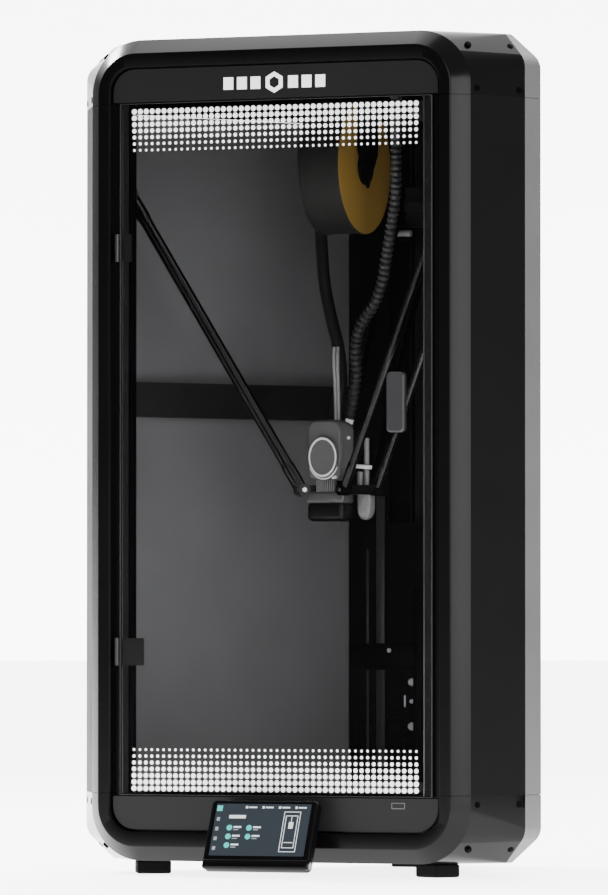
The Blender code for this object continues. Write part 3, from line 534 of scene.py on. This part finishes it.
# Fittings on the rear shroud: plated screw heads and a peg, two satin rails and the black braces that
# hold them.
plated = finish("plated", (0.62, 0.62, 0.63), 0.35, metallic=0.3, grain=500, bump=0.05)
rear_screws = bmesh.new()
for x, z, radius in (
    (-0.0127, 0.278, 0.0062),
    (-0.0127, 0.249, 0.0034),
    (-0.0127, 0.211, 0.0066),
    (-0.0494, 0.326, 0.0040),
):
    rod(rear_screws, (x, 0.5526, z), (x, 0.5470, z), radius, 24, radius * 0.8)
box(rear_screws, (-0.0262, 0.5500, 0.240), (-0.0232, 0.5526, 0.258), 0.0012)
rod(rear_screws, (-0.0375, 0.5400, 0.958), (-0.0094, 0.5400, 0.958), 0.0050, 24)
piece("shroud_screws", rear_screws, plated, "cabinet")
strip_dark = finish("strip_dark", (0.030, 0.030, 0.031), 0.35, specular=0.4, grain=700)
strips = bmesh.new()
for x, width, low, high in ((-0.0647, 0.0135, 0.150, 0.296), (-0.0647, 0.0135, 0.337, 0.560)):
    box(strips, (x - width / 2, 0.5500, low), (x + width / 2, 0.5526, high), 0.0006)
for low, high in ((0.150, 0.296), (0.337, 0.480)):
    box(strips, (-0.0880, 0.5508, low), (-0.0845, 0.5526, high), 0.0004)
piece("shroud_strips", strips, strip_dark, "cabinet")
braces = bmesh.new()
box(braces, (-0.1100, 0.5485, 0.299), (-0.0050, 0.5530, 0.334), 0.0010)
box(braces, (-0.0085, 0.5440, 0.130), (0.0060, 0.5530, 0.420), 0.0010)
box(braces, (-0.0300, 0.5380, 0.945), (-0.0180, 0.5530, 0.971), 0.0015)
piece("shroud_braces", braces, matt_black, "cabinet")

# Arms: six carbon fibre tubes with moulded ends that clip on to ball studs.
carbon = finish("carbon", (0.0012, 0.0012, 0.0014), 0.15, specular=0.22, grain=500, bump=0.05, coat=0.05)
ball_steel = finish("ball_steel", (0.60, 0.60, 0.61), 0.22, metallic=1.0, grain=500)
studs = bmesh.new()
JOINT_Z, CARRIAGE_Z = 0.563, 0.563 + math.sqrt(0.504**2 - 0.254**2)
for side, angle in (("left", 210), ("right", 330), ("rear", 90)):
    place = Matrix.Translation((0, 0.239, 0)) @ Matrix.Rotation(math.radians(angle), 4, "Z")
    for end, sign in (("a", -1), ("b", 1)):
        arm = bmesh.new()
        low = Vector((0.054, sign * 0.030, JOINT_Z))
        high = Vector((0.308, sign * 0.030, CARRIAGE_Z))
        along = (high - low).normalized()
        rod(arm, low + along * 0.026, high - along * 0.026, 0.0058, 20)
        for start, way in ((low, along), (high, -along)):
            rod(arm, start + way * 0.007, start + way * 0.040, 0.0068, 20, 0.0070)
            rod(arm, start + way * 0.040, start + way * 0.046, 0.0070, 20, 0.0058)
            rod(arm, start - Vector((0, 0.0085, 0)), start + Vector((0, 0.0085, 0)), 0.0088, 24)
        reach = Vector((0, 0.0105, 0))
        rod(studs, place @ (low - reach), place @ (low + reach), 0.0034, 20)
        bmesh.ops.transform(arm, matrix=place, verts=arm.verts)
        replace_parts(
            piece(f"arm_{side}_{end}_tube", arm, carbon, "effector"), f"arm_{side}_{end}"
        )

piece("ball_studs", studs, ball_steel, "effector")

# Effector and head: black moulded carrier, cover with an oval badge ring, shroud below it, a pale
# cooling duct at the side, the extruder behind and the brass nozzle.
head_black = finish("head_black", (0.090, 0.090, 0.092), 0.38, specular=0.35, grain=1200, bump=0.08)
head_grey = finish("head_grey", (0.060, 0.060, 0.062), 0.40, specular=0.4, bump=0.05)
pale_grey = finish("pale_grey", (0.15, 0.15, 0.15), 0.45, specular=0.4, bump=0.05)
carrier_black = finish(
    "carrier_black", (0.0025, 0.0025, 0.0028), 0.35, specular=0.15, grain=1200, bump=0.08
)
brass = finish("brass", (0.72, 0.45, 0.13), 0.28, metallic=1.0, grain=400)
dress(carrier_black, "effector", "extruder")
dress(brass, "nozzle")

duct = bmesh.new()
outlines = []
for inset, z in (
    (0.0, 0.5625),
    (0.0, 0.5360),
    (0.0010, 0.5290),
    (0.0035, 0.5230),
    (0.0070, 0.5200),
    (0.0085, 0.5194),
):
    ring = rounded(0.0110 - inset, -0.0110 + inset * 0.6, 0.0110 - inset * 0.6, 0.0045, steps=4)
    outlines.append([(x + 0.0450, y + 0.239, z) for x, y in ring])
lofted(duct, outlines)
rod(duct, (0.0490, 0.232, 0.556), (0.0490, 0.232, 0.6395), 0.0040, 24)
rod(duct, (0.0385, 0.232, 0.556), (0.0385, 0.232, 0.5900), 0.0048, 24)
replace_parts(piece("duct_shell", duct, pale_grey, "effector"), "cooling_duct")
pins = bmesh.new()
rod(pins, (0.0330, 0.2260, 0.5980), (0.0590, 0.2260, 0.5960), 0.0030, 20)
rod(pins, (0.0235, 0.2150, 0.6660), (0.0335, 0.2150, 0.6625), 0.0026, 20, 0.0034)
rod(pins, (0.0300, 0.2080, 0.6395), (0.0300, 0.2110, 0.6395), 0.0022, 20)
rod(pins, (0.0130, 0.1880, 0.5800), (0.0200, 0.1880, 0.5820), 0.0018, 16, 0.0026)
pin_white = finish("pin_white", (0.75, 0.75, 0.75), 0.30, specular=0.5, bump=0.02)
piece("head_pins", pins, pin_white, "effector")

cover = bmesh.new()
outlines = []
for inset, y in ((0.0, 0.231), (0.0, 0.196), (0.0012, 0.1915), (0.0035, 0.1885), (0.0065, 0.188)):
    points = rounded(0.028 - inset, 0.577 + inset, 0.666 - inset, 0.016 - inset, 0.008 - inset, steps=8)
    outlines.append([(x, y, z) for x, z in points])
lofted(cover, outlines)
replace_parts(piece("head_shell", cover, head_black, "effector"), "head_cover")

badge = bmesh.new()
for steps, outer, inner, front_y, back_y in (
    (range(41), 1.0, 0.90, 0.1810, 0.1822),
    (range(13, 28), 1.13, 1.07, 0.1850, 0.1862),
):
    sections = []
    for a in [math.tau * k / 40 for k in steps]:
        corners = ((outer, front_y), (inner, front_y), (inner, back_y), (outer, back_y))
        x, z = 0.0222 * math.sin(a), 0.0290 * math.cos(a)
        sections.append([(x * share, y, 0.6105 + z * share) for share, y in corners])
    ends = len(steps) < 41
    lofted(badge, sections, first=ends, last=ends)
piece("head_badge", badge, pin_white, "effector")
pod = bmesh.new()
turns = [math.tau * k / 48 for k in range(48)]
outlines = []
for scale, y in ((1.0, 0.1880), (1.0, 0.1835), (0.9667, 0.1816)):
    across, tall = 0.0238 * scale, 0.0306 * scale
    outlines.append([(across * math.sin(a), y, 0.6105 + tall * math.cos(a)) for a in turns])
lofted(pod, outlines)
piece("head_pod", pod, head_black, "effector")
front = bmesh.new()
box(front, (-0.0305, 0.1890, 0.5430), (0.0305, 0.2290, 0.5605), 0.0045, 4)
piece("head_lower", front, head_grey, "effector")
shroud = bmesh.new()
box(shroud, (-0.0300, 0.1895, 0.5165), (0.0300, 0.2290, 0.5460), 0.0085, 5)
piece("head_shroud", shroud, carrier_black, "effector")
fins = bmesh.new()
for k in range(9):
    box(fins, (-0.0140 + k * 0.0034, 0.1905, 0.5600), (-0.0124 + k * 0.0034, 0.2000, 0.5775), 0.0003, 1)
piece("head_fins", fins, pale_grey, "effector")

# Air hose: pale corrugated tube from the cabinet's top to the head; its colour carries painted shade on the
# lower part and painted light on the upper part.
hose_painted_shading = finish("hose_painted_shading", (0.16, 0.16, 0.165), 0.5, specular=0.3, bump=0.05)
tree = hose_painted_shading.node_tree
place = node(tree, "ShaderNodeTexCoord", 3)
height = node(tree, "ShaderNodeSeparateXYZ", 2, Vector=place)
# Painted light and shade: the hose is coloured darker below 0.80 m and lighter above about 0.92 m.
share = ((height - 0.80) * 8.0).clamp()
tint = mixed(tree, share, (0.015, 0.015, 0.016), (0.050, 0.050, 0.052))
tree.links.new(tint.socket, tree.nodes["Principled BSDF"].inputs["Base Color"])
HOSE = [
    (0.098, 0.228, 1.200),
    (0.098, 0.228, 1.140),
    (0.098, 0.228, 1.072),
    (0.097, 0.228, 1.001),
    (0.089, 0.229, 0.945),
    (0.082, 0.231, 0.910),
    (0.074, 0.233, 0.872),
    (0.060, 0.236, 0.838),
    (0.040, 0.240, 0.812),
    (0.028, 0.243, 0.786),
    (0.026, 0.244, 0.760),
    (0.026, 0.246, 0.733),
    (0.020, 0.250, 0.700),
    (0.012, 0.253, 0.670),
    (0.010, 0.254, 0.6535),
]
SLEEVE = [
    (-0.072, 0.335, 1.200),
    (-0.072, 0.335, 1.120),
    (-0.070, 0.330, 1.030),
    (-0.062, 0.320, 0.937),
    (-0.050, 0.305, 0.872),
    (-0.033, 0.290, 0.821),
    (-0.015, 0.277, 0.772),
    (-0.006, 0.264, 0.721),
    (-0.010, 0.254, 0.680),
    (-0.011, 0.252, 0.6535),
]


def smooth_route(points, spacing):
    """Catmull-Rom points along a route, evenly spaced."""
    ends = [Vector(p) for p in points]
    path = [ends[0] * 2 - ends[1]] + ends + [ends[-1] * 2 - ends[-2]]
    fine = []
    for a, b, c, d in zip(path, path[1:], path[2:], path[3:]):
        square, cube = a * 2 - b * 5 + c * 4 - d, b * 3 - a - c * 3 + d
        for k in range(24):
            t = k / 24
            fine.append((b * 2 + (c - a) * t + square * t**2 + cube * t**3) / 2)
    fine.append(ends[-1])
    made, left = [fine[0]], spacing
    for start, end in zip(fine, fine[1:]):
        run = (end - start).length
        while left <= run:
            start = start + (end - start).normalized() * left
            made.append(start)
            run -= left
            left = spacing
        left -= run
    return made


def swept(mesh, route, radius_at, sides=18):
    """Tube whose radius changes along its route, closed at both ends."""
    turns = [math.tau * j / sides for j in range(sides)]
    outlines = []
    for k, spot in enumerate(route):
        ahead = route[min(k + 1, len(route) - 1)] - route[max(k - 1, 0)]
        side = ahead.cross(Vector((0, 1, 0))).normalized()
        up = side.cross(ahead).normalized()
        r = radius_at(k)
        outlines.append([spot + side * r * math.cos(a) + up * r * math.sin(a) for a in turns])
    lofted(mesh, outlines)


def loose(name, mesh, paint, sharp=60.0):
    """A piece between the cabinet and the head, left on no body with its placement baked into its mesh."""
    made = piece(name, mesh, paint, "cabinet", sharp)
    made.parent = None
    made.matrix_world = Matrix.Identity(4)
    del made["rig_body"]
    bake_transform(made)
    return made


hose = bmesh.new()
swept(hose, smooth_route(HOSE, 0.00143), lambda k: 0.0077 + 0.0013 * math.cos(k * math.tau / 6), 16)
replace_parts(loose("hose", hose, hose_painted_shading), "air_hose")
sleeve = bmesh.new()
swept(sleeve, smooth_route(SLEEVE, 0.006), lambda k: 0.0092 + 0.0002 * math.cos(k * 2.1), 20)
sleeve_black = finish("sleeve_black", (0.008, 0.008, 0.009), 0.6, specular=0.3, grain=500, bump=0.5)
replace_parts(loose("sleeve", sleeve, sleeve_black), "cable_sleeve")

# Filament tubes: two pale plastic tubes that come out of the sleeve and run into the head's top.
tube_grey = finish("tube_grey", (0.26, 0.26, 0.26), 0.25, specular=0.6, grain=500, bump=0.02)
tubes = bmesh.new()
for top_x, low_x in ((-0.0112, -0.0055), (-0.0056, -0.0008)):
    way = [(top_x - 0.002, 0.256, 0.775), (top_x, 0.250, 0.752)]
    way += [(low_x - 0.0015, 0.2455, 0.700), (low_x, 0.243, 0.6600)]
    swept(tubes, smooth_route(way, 0.003), lambda k: 0.0026, 14)
loose("filament_tubes", tubes, tube_grey)

# Filament spool: dark reel with a printed gold card face on the right, wound with black filament.
spool_dark = finish("spool_dark", (0.016, 0.0165, 0.015), 0.50, specular=0.15)
spool_gold = finish("spool_gold", (0.62, 0.37, 0.075), 0.45, specular=0.4, wear=0.25)
filament = finish("filament", (0.016, 0.0165, 0.015), 0.55, specular=0.12)


def spun(mesh, profile, steps=72, centre=(0, 0.262, 1.041)):
    """Solid of (x, r) points turned round the spool's axis."""
    ring = [mesh.verts.new((x, centre[1], centre[2] + r)) for x, r in profile]
    loop = [mesh.edges.new(pair) for pair in zip(ring, ring[1:] + ring[:1])]
    bmesh.ops.spin(
        mesh, geom=ring + loop, cent=centre, axis=(1, 0, 0), angle=math.tau, steps=steps, use_merge=True
    )


reel = bmesh.new()
for side in (-1, 1):
    near, far = side * 0.0290, side * 0.0325
    spun(reel, [(near, 0.0262), (near, 0.0995), (far, 0.0995), (far, 0.0262)])
spun(reel, [(-0.0285, 0.0262), (-0.0285, 0.0300), (0.0285, 0.0300), (0.0285, 0.0262)])
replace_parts(piece("reel", reel, spool_dark, "spool"), "spool")
wound = bmesh.new()
turns = [(-0.0286, 0.0310)]
for k in range(33):
    turns.append((-0.0286 + 0.0572 * k / 32, 0.0978 + 0.0003 * (k % 2)))
turns.append((0.0286, 0.0310))
spun(wound, turns)
piece("wound_filament", wound, filament, "spool", 60)
card = bmesh.new()
spun(card, [(0.0326, 0.0262), (0.0326, 0.0985), (0.0329, 0.0985), (0.0329, 0.0262)])
piece("spool_card", card, spool_gold, "spool")

dress(matt_black, "spool_bracket")

# Bed: round glass-topped heater with a dark textured surface.
bed_dark = finish("bed_dark", (0.035, 0.035, 0.036), 0.55, specular=0.4, grain=800, bump=0.25)
dress(bed_dark, "print_bed")

# Power inlet: moulded black socket with three pins, pressed into the foot of the cabinet's back.
inlet_black = finish("inlet_black", (0.012, 0.012, 0.012), 0.45, specular=0.3, grain=900)
inlet = bmesh.new()
front_plate(inlet, rounded(0.0275, 0.0735, 0.1010, 0.0030, steps=4), 0.6290, 0.6312)
piece("power_inlet", inlet, inlet_black, "cabinet")
well = bmesh.new()
front_plate(well, rounded(0.0135, 0.0780, 0.0970, 0.0030, steps=4), 0.6305, 0.6315)
piece("power_inlet_well", well, socket_dark, "cabinet")
pins = bmesh.new()
for x, z in ((-0.0065, 0.0850), (0.0, 0.0895), (0.0065, 0.0850)):
    box(pins, (x - 0.0012, 0.6308, z - 0.0025), (x + 0.0012, 0.6318, z + 0.0025), 0.0004, 1)
piece("power_inlet_pins", pins, plated, "cabinet")

# Touch screen: moulded black case leaning back on its bracket, with a glass front and a lit display.
dress(matt_black, "screen_bracket")
screen_case = finish("screen_case", (0.0012, 0.0012, 0.0014), 0.24, specular=0.08, grain=1500, bump=0.04)
knob_black = finish("knob_black", (0.010, 0.010, 0.010), 0.18, specular=0.6, grain=600, bump=0.02)
screen_glass = finish("screen_glass", (0.001, 0.001, 0.0013), 0.06, specular=0.1, bump=0.0)
LEAN = Matrix.Translation((0, -0.025, 0.1115)) @ Matrix.Rotation(math.radians(-22.5), 4, "X")


def lit(name, colour, strength=1.0):
    """Glowing print under the screen's glass, a little uneven like a backlight."""
    made = bpy.data.materials.new(name)
    made.use_nodes = True
    tree = made.node_tree
    shader = tree.nodes["Principled BSDF"]
    place = node(tree, "ShaderNodeTexCoord", 3)
    glow = node(tree, "ShaderNodeTexNoise", Vector=place, Scale=12.0)
    tint = mixed(tree, glow, [c * 0.9 for c in colour], [min(1, c * 1.1) for c in colour])
    tree.links.new(tint.socket, shader.inputs["Emission Color"])
    shader.inputs["Emission Strength"].default_value = strength
    shader.inputs["Base Color"].default_value = (*[c * 0.3 for c in colour], 1)
    shader.inputs["Roughness"].default_value = 0.3
    return made


def on_screen(name, mesh, paint, sharp=35.0):
    bmesh.ops.transform(mesh, matrix=LEAN, verts=mesh.verts)
    return piece(name, mesh, paint, "screen", sharp)


case = bmesh.new()
outlines = []
for inset, y in ((0.004, 0.0178), (0.0, 0.0145), (0.0, 0.0030), (0.0012, 0.0008), (0.0030, 0.0)):
    points = rounded(0.084 - inset, -0.106 + inset, -inset, 0.007 - inset * 0.5, steps=6)
    outlines.append([(x, y, z) for x, z in points])
lofted(case, outlines)
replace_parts(on_screen("screen_shell", case, screen_case), "screen")
lugs = bmesh.new()
for side in (-1, 1):
    rod(lugs, (side * 0.0183, -0.020, 0.062), (side * 0.032, -0.020, 0.062), 0.006, 24)
piece("screen_lugs", lugs, screen_case, "screen")
knob = bmesh.new()
rod(knob, (0.0835, 0.0060, -0.0985), (0.0850, 0.0060, -0.0985), 0.0060, 28, 0.0052)
on_screen("screen_knob", knob, knob_black)
lip = bmesh.new()
box(lip, (-0.0838, -0.0012, -0.1055), (0.0838, 0.0100, -0.0905), 0.0035, 3)
on_screen("screen_lip", lip, screen_case)
face = bmesh.new()
front_plate(face, rounded(0.0790, -0.0900, -0.0030, 0.002, steps=4), -0.0006, 0.0002)
on_screen("screen_front", face, screen_glass)

slate = lit("slate", (0.020, 0.028, 0.036), 0.7)
teal = lit("teal", (0.05, 0.55, 0.50), 1.0)
pale = lit("pale", (0.75, 0.78, 0.80), 1.0)
dim = lit("dim", (0.28, 0.31, 0.33), 0.9)
display = bmesh.new()
front_plate(display, rounded(0.0745, -0.0865, -0.0065, 0.001, steps=2), -0.0009, -0.0005)
on_screen("display", display, slate)


def ui(name, shapes, paint):
    """Flat bars and discs on the display: (x, z, width, height) or (x, z, radius)."""
    mesh = bmesh.new()
    for shape in shapes:
        if len(shape) == 4:
            x, z, w, h = shape
            points = [(x, z), (x + w, z), (x + w, z + h), (x, z + h)]
        else:
            x, z, r = shape
            turns = [math.tau * k / 20 for k in range(20)]
            points = [(x + r * math.cos(a), z + r * math.sin(a)) for a in turns]
        front_plate(mesh, points, -0.0012, -0.0008)
    on_screen(name, mesh, paint)


ui("ui_tiles", [(-0.0730, -0.0180, 0.0085, 0.0085)], teal)
ui("ui_icons", [(-0.0710, -0.0180 - 0.0150 * k, 0.0048, 0.0055) for k in range(1, 5)], dim)
ui(
    "ui_status",
    [(-0.028 + 0.026 * k, -0.0135, 0.0035, 0.0035) for k in range(4)]
    + [(-0.0225 + 0.026 * k, -0.0128, 0.0120, 0.0020) for k in range(4)],
    pale,
)
ui("ui_title", [(-0.052, -0.0290, 0.0260, 0.0050)], pale)
dials = [(-0.0490, -0.0435), (-0.0180, -0.0435), (-0.0490, -0.0570), (-0.0180, -0.0570), (-0.0490, -0.0705)]
ui("ui_dials", [(x, z, 0.0044) for x, z in dials], teal)
ui("ui_values", [(x + 0.0065, z - 0.0002, 0.0120, 0.0026) for x, z in dials], pale)
ui("ui_units", [(x + 0.0065, z - 0.0036, 0.0080, 0.0014) for x, z in dials], dim)
frame_lines = []
for x, z, w, h in ((0.034, -0.080, 0.026, 0.062), (0.0375, -0.074, 0.019, 0.050)):
    t = 0.0009
    frame_lines += [(x, z, w, t), (x, z + h - t, w, t), (x, z, t, h), (x + w - t, z, t, h)]
frame_lines += [(0.0435, -0.044, 0.007, 0.010), (0.0465, -0.034, 0.0008, 0.008)]
frame_lines += [(0.0400, -0.066, 0.014, 0.0010)]
ui("ui_drawing", frame_lines, pale)

# Room: pale floor with painted shade far in front and far to the right, where its colour and glow are turned
# down, soft light from above and from behind, a dim front, a large lamp at the right and a small one inside the
# cabinet.
floor = bmesh.new()
bmesh.ops.create_grid(floor, x_segments=1, y_segments=1, size=90)
data = bpy.data.meshes.new("floor")
floor.to_mesh(data)
floor.free()
stage = bpy.data.objects.new("floor", data)
bpy.context.scene.collection.objects.link(stage)
floor_paint = bpy.data.materials.new("floor_paint")
floor_paint.use_nodes = True
tree = floor_paint.node_tree
place = node(tree, "ShaderNodeTexCoord", 3)
cloud = node(tree, "ShaderNodeTexNoise", Vector=place, Scale=0.7)
back = node(tree, "ShaderNodeSeparateXYZ", 1, Vector=place)
across = node(tree, "ShaderNodeSeparateXYZ", 0, Vector=place)
# Painted shade: the floor's colour and glow drop where y is below -0.9 m and where x is above 1 m.
near = ((back + 2.9) * 0.5).clamp() * ((3.0 - across) * 0.5).clamp()
tint = mixed(tree, cloud, (0.86, 0.86, 0.86), (0.90, 0.90, 0.90))
tint = mixed(tree, near, (0.30, 0.30, 0.30), tint)
tree.links.new(tint.socket, tree.nodes["Principled BSDF"].inputs["Base Color"])
tree.nodes["Principled BSDF"].inputs["Roughness"].default_value = 0.6
glow = mixed(tree, near, (0.12, 0.12, 0.12), (1, 1, 1))
tree.links.new(glow.socket, tree.nodes["Principled BSDF"].inputs["Emission Color"])
tree.nodes["Principled BSDF"].inputs["Emission Strength"].default_value = 4.5
data.materials.append(floor_paint)

world = bpy.data.worlds.new("room")
world.use_nodes = True
bpy.context.scene.world = world
tree = world.node_tree
way = node(tree, "ShaderNodeTexCoord", 0)
split = tree.nodes.new("ShaderNodeSeparateXYZ")
tree.links.new(way.socket, split.inputs[0])
ahead = Sock(tree, split.outputs[1])
height = Sock(tree, split.outputs[2])
side = Sock(tree, split.outputs[0])
level = (height.math("ABSOLUTE", height) * -2.2 + 1.0).clamp()
far_left = ((side * -1.0 - 0.46) * 5.0).clamp()
behind = ((ahead - 0.60) * 4.0).clamp() * level * (1.0 - far_left * 0.75)
above = ((height - 0.22) * 4.0).clamp() * ((ahead - side * 0.5 - 0.10) * 4.0).clamp()
shade = ((ahead * -0.917 + side * -0.397 - 0.62) * 4.0).clamp()
flank = ((side * -1.0 - 0.62) * 6.0).clamp() * (1.0 - behind)
power = behind * 9.0 + above * 4.0 + 0.8 - shade * 0.70 - flank * 0.5
tint = mixed(tree, shade, (1.0, 1.0, 1.0), (0.97, 0.98, 1.0))
tree.links.new(tint.socket, tree.nodes["Background"].inputs["Color"])
tree.links.new(power.clamp_low().socket, tree.nodes["Background"].inputs["Strength"])


def softbox(name, spot, aim, size, power):
    lamp = bpy.data.lights.new(name, "AREA")
    lamp.shape = "RECTANGLE"
    lamp.size, lamp.size_y = size
    lamp.energy = power
    made = bpy.data.objects.new(name, lamp)
    made.location = spot
    made.rotation_euler = (Vector(aim) - Vector(spot)).to_track_quat("-Z", "Y").to_euler()
    bpy.context.scene.collection.objects.link(made)


softbox("overhead", (-0.6, 0.2, 4.2), (0, 0, 0.6), (3.0, 2.0), 80)
softbox("right_front", (3.0, -4.6, 1.9), (0, 0, 0.6), (4.2, 3.2), 270)
softbox("inside", (0.20, 0.10 + FRONT, 0.42), (-0.10, 0.46 + FRONT, 0.36), (0.10, 0.60), 1.2)
softbox("right_side", (5.6, -1.9, 1.0), (0, 0, 0.6), (1.2, 3.4), 130)
softbox("left_back", (-4.6, 1.6, 4.4), (0, 0, 0), (1.2, 1.2), 700)

# Camera: a long lens a little to the right of the front and low, looking slightly up.
lens = bpy.data.cameras.new("view")
lens.lens = 296.98
lens.sensor_width = 36
lens.shift_x = -0.0347
lens.shift_y = 0.01965
lens.clip_end = 100
camera = bpy.data.objects.new("view", lens)
camera.location = (4.3263, -9.7637 + FRONT, 0.3499)
target = Vector((0, 0.228 + FRONT, 0.600))
camera.rotation_euler = (target - camera.location).to_track_quat("-Z", "Y").to_euler()
bpy.context.scene.collection.objects.link(camera)
bpy.context.scene.camera = camera
